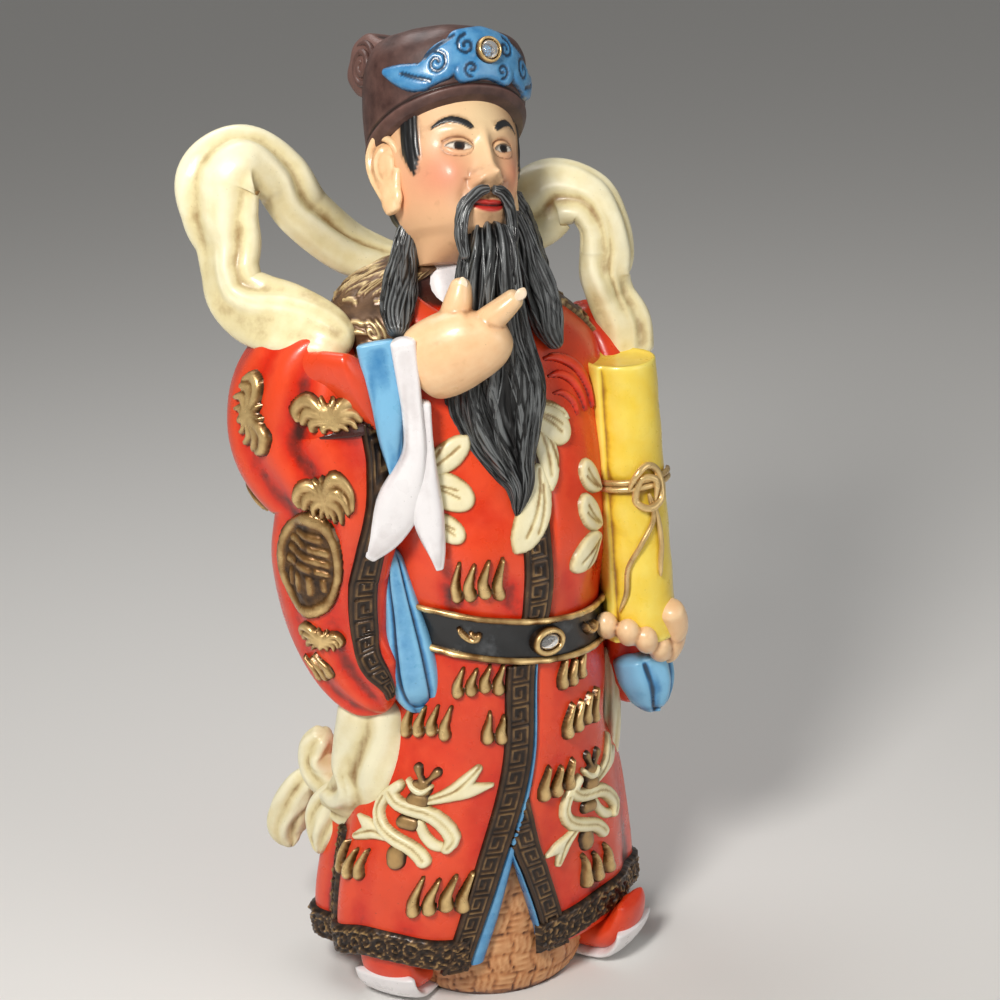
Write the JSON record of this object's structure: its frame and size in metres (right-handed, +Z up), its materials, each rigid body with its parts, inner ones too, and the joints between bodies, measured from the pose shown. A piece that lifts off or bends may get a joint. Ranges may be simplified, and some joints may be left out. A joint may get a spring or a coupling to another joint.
{
  "type": "robed star god figure",
  "caption": "Standing cast figure in a layered robe and soft cap, one hand at a long beard, the other holding a tied scroll, with a looping scarf.",
  "frame": {"origin": "on the ground under the figure, inside the flat underside of the under-skirt", "axes": "+Z up along the figure's height, -Y the way the robe faces, +X its left hand"},
  "size_m": [0.1602, 0.1086, 0.3622],
  "materials": {
    "painted_resin": "hand-painted cast resin under gloss varnish: red robe, dark brown cap, cream scarf and leaves, yellow scroll, blue linings, gold relief",
    "paste_stone": "polished clear glass paste"
  },
  "bodies": {
    "root": {"figure": "painted_resin", "brow_stone": "paste_stone", "belt_stone": "paste_stone"}
  },
  "joints": []
}
